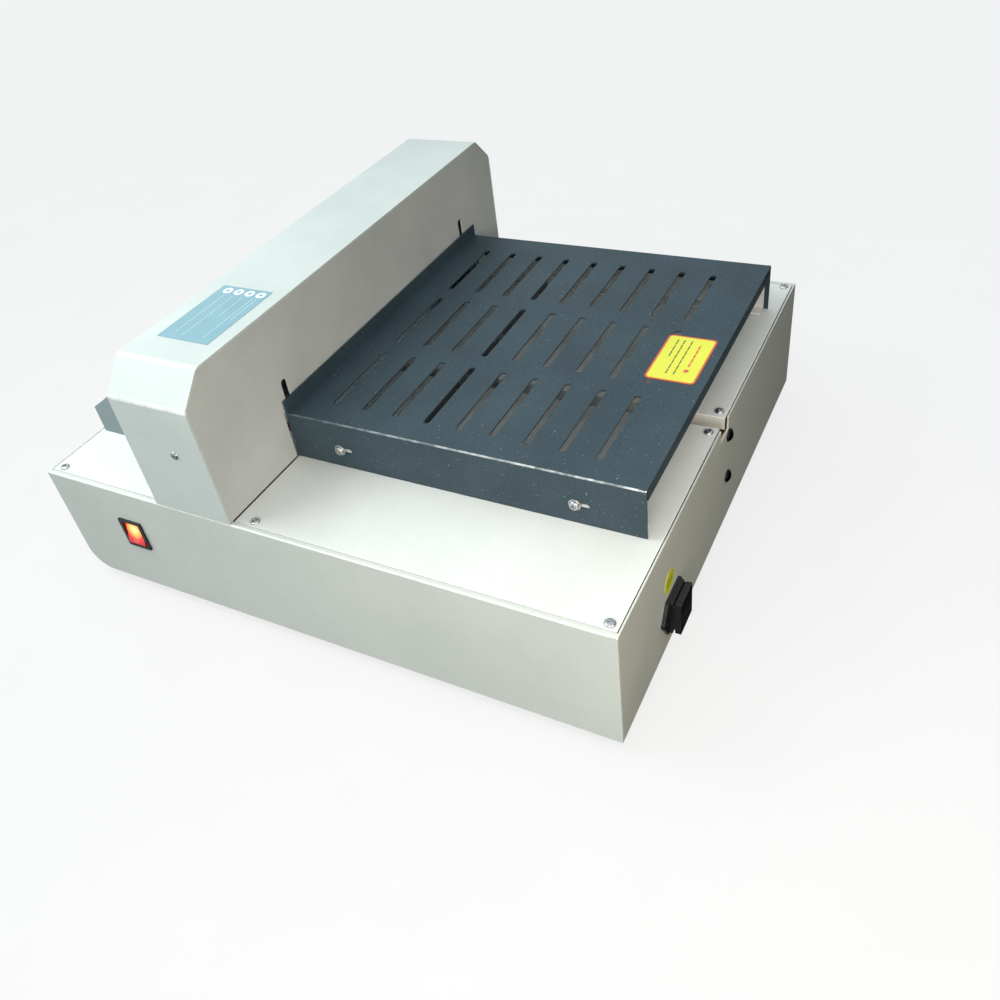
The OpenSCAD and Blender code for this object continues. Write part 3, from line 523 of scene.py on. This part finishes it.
def turned(profile, steps=36):
    """A closed solid turned about Z from (radius, height) points in mm, both ends on the axis."""
    bm, rings = bmesh.new(), []
    for r, z in profile:
        count = steps if r > 0 else 1
        rings.append([bm.verts.new(polar(r, i / count, z)) for i in range(count)])
    for low, high in zip(rings, rings[1:]):
        bridge(bm, low, high)
    return bm


def block(bm, low, high, at=Matrix.Identity(4)):
    """Adds a closed box in mm, placed by a matrix in metres."""
    for v in bmesh.ops.create_cube(bm, size=1.0)["verts"]:
        v.co = at @ Vector([(a + (c + 0.5) * (b - a)) * MM for a, b, c in zip(low, high, v.co)])


def disc(bm, radius, layer, at, steps=28):
    """Adds a closed round plate from layer's low to its high in mm, placed by a matrix."""
    low, high = layer
    made = bmesh.ops.create_cone(bm, cap_ends=True, segments=steps, radius1=radius * MM,
                                 radius2=radius * MM, depth=(high - low) * MM)["verts"]
    for v in made:
        v.co = at @ (v.co + Vector((0, 0, (high + low) / 2 * MM)))


def carved(bm, cutters):
    """bm with each of the cutters taken out of it."""
    parts = []
    for part in (bm, *cutters):
        bmesh.ops.recalc_face_normals(part, faces=part.faces)
        data = bpy.data.meshes.new("carving")
        part.to_mesh(data)
        part.free()
        parts.append(bpy.data.objects.new("carving", data))
        bpy.context.scene.collection.objects.link(parts[-1])
    for cutter in parts[1:]:
        cut = parts[0].modifiers.new("cut", "BOOLEAN")
        cut.operation, cut.solver, cut.object = "DIFFERENCE", "EXACT", cutter
    made = bmesh.new()
    made.from_object(parts[0], bpy.context.evaluated_depsgraph_get())
    for obj in parts:
        bpy.data.objects.remove(obj)
    return made


SHANK_RADIUS, SHANK_LENGTH = 1.6, 4
# turn of the first screw's recess, and from each to the next, in radians
FIRST_TURN, NEXT_TURN = 0.35, 0.9
# radius and height along the head's dome, as shares of the head's own
DOME = [(1.0, 0.30), (0.975, 0.55), (0.90, 0.75), (0.76, 0.90),
        (0.56, 0.975), (0.3, 0.995), (0, 1.0)]
# radius as a share of the head's, and height as a share of the washer's
WASHER = [(1.22, 0), (1.25, 0.3), (1.25, 0.8), (1.2, 1), (0.97, 1)]


def screw(radius, height, washer):
    """A cross-recessed pan head over its washer and a short shank, its seat on z = 0."""
    profile = [(0, -SHANK_LENGTH), (SHANK_RADIUS, -SHANK_LENGTH), (SHANK_RADIUS, 0)]
    if washer:
        profile += [(radius * r, washer * z) for r, z in WASHER]
    profile.append((radius * 0.97, washer + 0.02))
    profile += [(radius * r, washer + height * z) for r, z in DOME]
    arm, web = radius * 0.56, radius * 0.14
    floor, pit, top = washer + height * 0.42, washer + height * 0.25, washer + height + 1
    recess = [bmesh.new() for _ in range(3)]
    block(recess[0], (-arm, -web, floor), (arm, web, top))
    block(recess[1], (-web, -arm, floor), (web, arm, top))
    block(recess[2], (-1.7 * web, -1.7 * web, pit), (1.7 * web, 1.7 * web, top),
          Matrix.Rotation(math.pi / 4, 4, "Z"))
    return carved(turned(profile), recess)


def screws(node, outward, radius, height, washer=0.0):
    """One piece with a detailed screw at each solid of a CAD node; outward(box) is its axis."""
    source, whole = screw(radius, height, washer), bmesh.new()
    data = bpy.data.meshes.new("screw")
    source.to_mesh(data)
    source.free()
    for number, (low, high) in enumerate(islands(node)):
        axis = Vector(outward(low, high))
        top = Vector([b if a > 0 else c if a < 0 else (c + b) / 2 for a, b, c in zip(axis, high, low)])
        turn = axis.to_track_quat("Z", "Y").to_matrix().to_4x4()
        turn = turn @ Matrix.Rotation(FIRST_TURN + NEXT_TURN * number, 4, "Z")
        copy = data.copy()
        copy.transform(Matrix.Translation(top - axis * (height + washer) * MM) @ turn)
        whole.from_mesh(copy)
        bpy.data.meshes.remove(copy)
    return piece(node + "_shape", whole, node)


def upright(low, high):
    return (0, 0, 1)


def sideways(low, high):
    return (1, 0, 0) if low.x + high.x > 0 else (-1, 0, 0)


def threaded(node, radius, pitch, depth, plain, around=24, per_turn=6):
    """A turned rod along the longest side of its CAD node, with a screw thread. Each plain
    stretch is its start and end along the rod and its radius, in mm."""
    low, high = (Vector(v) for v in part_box(node))
    axis = max(range(3), key=lambda i: high[i] - low[i])
    length = (high - low)[axis] / MM
    count = int(length / pitch * per_turn)
    along = Vector([1.0 if i == axis else 0.0 for i in range(3)])
    foot = (low + high) / 2
    foot[axis] = low[axis]
    place = Matrix.Translation(foot) @ along.to_track_quat("Z", "Y").to_matrix().to_4x4()
    bm, rings = bmesh.new(), []
    for k in range(count + 1):
        z = length * k / count
        smooth = [r for start, end, r in plain if start <= z <= end]
        ring = []
        for i in range(around):
            wave = abs(((z / pitch - i / around) % 1.0) - 0.5) * 2
            r = smooth[0] if smooth else radius - depth * wave
            ring.append(bm.verts.new(place @ polar(r, i / around, z)))
        rings.append(ring)
    bm.faces.new(rings[0][::-1])
    for last, ring in zip(rings, rings[1:]):
        bridge(bm, last, ring)
    bm.faces.new(rings[-1])
    return bm


# ---- labels ------------------------------------------------------------------


# each line of bars: its centre, start, end and number of words, in mm on the label
COVER_LINES = ((-10.9, -27, 0, 3), (-5.4, -27, 24.5, 7), (0.8, -27, 24.5, 7))
COVER_HEADING = ((9.0, -21.5, 11.5, 5),)
HOOD_LINES = ((-14, -27, 33, 12), (-5, -27, 35, 12), (5, -27, 6, 12),
              (15, -27, 34, 12), (19, -27, 5, 12))
HOOD_DISCS = [(-33.5, -15.5 + 11.3 * k) for k in range(4)]
STICKER_BARS = ((-2.2, -6, 6, 1), (0.2, -6, 6, 1), (2.6, -6, 6, 1))
COVER_BORDER = 3.2
# from and to height of each printed layer over the label's underside, in mm
BACKING = (0, 0.24)
FACE = (0.2, 0.29)
INK = (0.27, 0.33)
HOOD_INK = (0.22, 0.27)
HOOD_SPOT = (0.22, 0.29)
SPOT_MARK = (0.27, 0.3)


def plate(bm, width, height, radius, layer, at, steps=6):
    """Adds a flat plate with rounded corners, in mm."""
    outline = []
    for side_x, side_y, quarter in ((1, 1, 0), (-1, 1, 1), (-1, -1, 2), (1, -1, 3)):
        for i in range(steps + 1):
            a = (quarter + i / steps) * math.pi / 2
            outline.append((side_x * (width / 2 - radius) + radius * math.cos(a),
                            side_y * (height / 2 - radius) + radius * math.sin(a)))
    rings = [[bm.verts.new(at @ Vector((x * MM, y * MM, z * MM))) for x, y in outline]
             for z in layer]
    bm.faces.new(rings[0][::-1])
    bm.faces.new(rings[1])
    bridge(bm, *rings)


def bars(bm, at, lines, half, space, layer):
    """Adds lines of word-like bars, each 2 * half wide and space short of the next."""
    for centre, start, end, words in lines:
        for k in range(words):
            a = start + (end - start) * k / words
            b = a + (end - start) / words - space
            block(bm, (a, centre - half, layer[0]), (b, centre + half, layer[1]), at)


def discs(bm, at, places, radius, layer, steps=28):
    for x, y in places:
        disc(bm, radius, layer, at @ Matrix.Translation((x * MM, y * MM, 0)), steps)


def printed(name, material, draw, *shape):
    """One printed layer, drawn by draw(bm, *shape)."""
    bm = bmesh.new()
    draw(bm, *shape)
    return piece(name, bm, "labels", material)


def on_top(low, high):
    """The middle of a flat label's underside, and its width and height in mm."""
    at = Matrix.Translation(((low.x + high.x) / 2, (low.y + high.y) / 2, low.z))
    return at, (high.x - low.x) / MM, (high.y - low.y) / MM


def make_labels():
    """Generic print only: bars for lines of text and discs for symbols."""
    places = islands("labels")
    hood = max(places, key=lambda b: b[1].z)
    oval = max(places, key=lambda b: b[1].y)
    deck = next(b for b in places if b is not hood and b is not oval)
    dark, red = film("label_ink", (92, 96, 22)), film("label_red", (214, 88, 40))
    pale, white = film("label_pale", (176, 206, 214)), film("label_white", (224, 226, 236))
    tinted = film("label_tint", (122, 166, 178), 0.9, 0.14)
    yellow = film("label_yellow", (226, 226, 58))

    at, w, h = on_top(*deck)
    printed("cover_label_edge", red, plate, w, h, 4, BACKING, at)
    printed("cover_label", yellow, plate,
            w - COVER_BORDER, h - COVER_BORDER, 2.8, FACE, at)
    printed("cover_label_lines", dark, bars, at, COVER_LINES, 0.55, 0.9, INK)

    def heading(bm):
        bars(bm, at, COVER_HEADING, 0.7, 1.0, INK)
        discs(bm, at, [(16.6, 9)], 2.2, INK)

    printed("cover_label_heading", red, heading)

    at, w, h = on_top(*hood)
    printed("hood_label", tinted, plate, w, h, 1.0, BACKING, at)
    printed("hood_label_symbols", white, discs, at, HOOD_DISCS, 4.4, HOOD_SPOT)
    printed("hood_label_rules", pale, bars, at, HOOD_LINES, 0.35, 0.5, HOOD_INK)
    printed("hood_label_marks", tinted, discs, at, HOOD_DISCS, 1.7, SPOT_MARK, 16)

    low, high = oval
    at = Matrix.Translation(((low.x + high.x) / 2, low.y, (low.z + high.z) / 2))
    at = at @ Matrix.Rotation(-math.pi / 2, 4, "X")
    printed("inlet_sticker", yellow, disc, 10, BACKING, at, 40)
    printed("inlet_sticker_mark", dark, bars, at, STICKER_BARS, 0.4, 0, FACE)


def ring_mark(node, height=6.8, radius=2.2, wire=0.28, around=24, sides=8):
    """The off mark on the rocker's lower half: a thin ring laid on its sloping face. Its
    centre is height mm over the node's lowest point."""
    low, high = (Vector(v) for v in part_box(node))
    middle = Vector((0, (low.y + high.y) / 2, low.z + height * MM))
    surface = BVHTree.FromBMesh(read(node))
    bm, loops = bmesh.new(), []
    for k in range(around):
        a = 2 * math.pi * k / around
        out = Vector((0, math.cos(a), math.sin(a)))
        above = middle + out * radius * MM
        above.x = high.x + 5 * MM
        face = surface.ray_cast(above, Vector((-1, 0, 0)))[0]
        loop = []
        for i in range(sides):
            b = 2 * math.pi * i / sides
            lift = Vector((0.5 * wire * math.sin(b), 0, 0))
            loop.append(bm.verts.new(face + (out * math.cos(b) * wire + lift) * MM))
        loops.append(loop)
    rings = list(zip(*loops))
    for i in range(sides):
        bridge(bm, rings[i], rings[(i + 1) % sides])
    return bm


# ---- the pieces --------------------------------------------------------------

set_camera()
set_studio()
set_floor()

# node: radius of its sheet folds and of its other edges, in mm
FOLDED = {
    "hood_cover": (2.0, 0.3), "side_panel_right": (1.3, 0.3), "side_panel_left": (1.3, 0.3),
    "rear_cover": (1.1, 0.35), "front_panel": (0.8, 0.3), "rear_panel": (0.8, 0.3),
    "control_console": (1.6, 0.3), "cover_brackets": (0.6, 0.25), "front_table": (0, 0.3),
    "rear_table_right": (0.5, 0.3), "rear_table_left": (0.5, 0.3),
    "hood_rear_plate": (0, 0.25), "hood_front_plate": (0, 0.25),
    "switch_bezel": (0, 0.35), "power_rocker": (0, 0.5),
    "power_inlet": (0, 0.25), "fuse_drawer": (0, 0.2), "inlet_pins": (0, 0.3),
    "hand_wheel": (0, 0.4), "display_window": (0, 0.25), "stop_collar": (0, 0.4),
    "back_gauge": (0, 0.3), "gauge_carriage": (0, 0.5), "knife_carrier": (0, 0.6),
    "clamp_beam": (0, 0.5), "table_bed": (0, 0.4), "cutting_stick": (0, 0.2),
    "cross_beam": (0, 0.8), "clamp_bridge": (0, 0.5), "screw_bearings": (0, 0.5),
    "worm_gearbox": (0, 0.8), "rubber_feet": (0, 0.6), "control_board": (0, 0.2),
    "throat_guard": (0, 0.2), "cheek_right": (0, 0.5), "cheek_left": (0, 0.5),
    "key_forward": (0, 0.4), "key_back": (0, 0.4), "key_clamp": (0, 0.4),
    "cut_button_right": (0, 0.6), "cut_button_left": (0, 0.6), "stop_button": (0, 0.5),
    "bottom_plate": (0, 0.2), "drive_motor": (0, 0.5), "shaft_bearings": (0, 0.3),
}
for node, (fold, edge) in FOLDED.items():
    rounded(node, fold, edge)

screws("table_screws", upright, radius=4.0, height=2.0)
screws("cover_screws", sideways, radius=4.0, height=2.6, washer=0.7)
screws("hood_screws", sideways, radius=3.6, height=1.5)
make_labels()
thread = threaded("lead_screw", radius=6, pitch=5, depth=0.9, plain=((0, 51, 4), (530, 541, 5.2)))
piece("lead_screw_shape", thread, "lead_screw")
print_paint = plastic("rocker_print", (236, 170, 160))
piece("rocker_mark", ring_mark("power_rocker"), "power_rocker", print_paint, cleared=False)

for node, obj in frame["nodes"].items():
    if not obj.hide_render:
        obj.data.materials.clear()
        obj.data.materials.append(MATERIALS[SLOT_OF[node]])
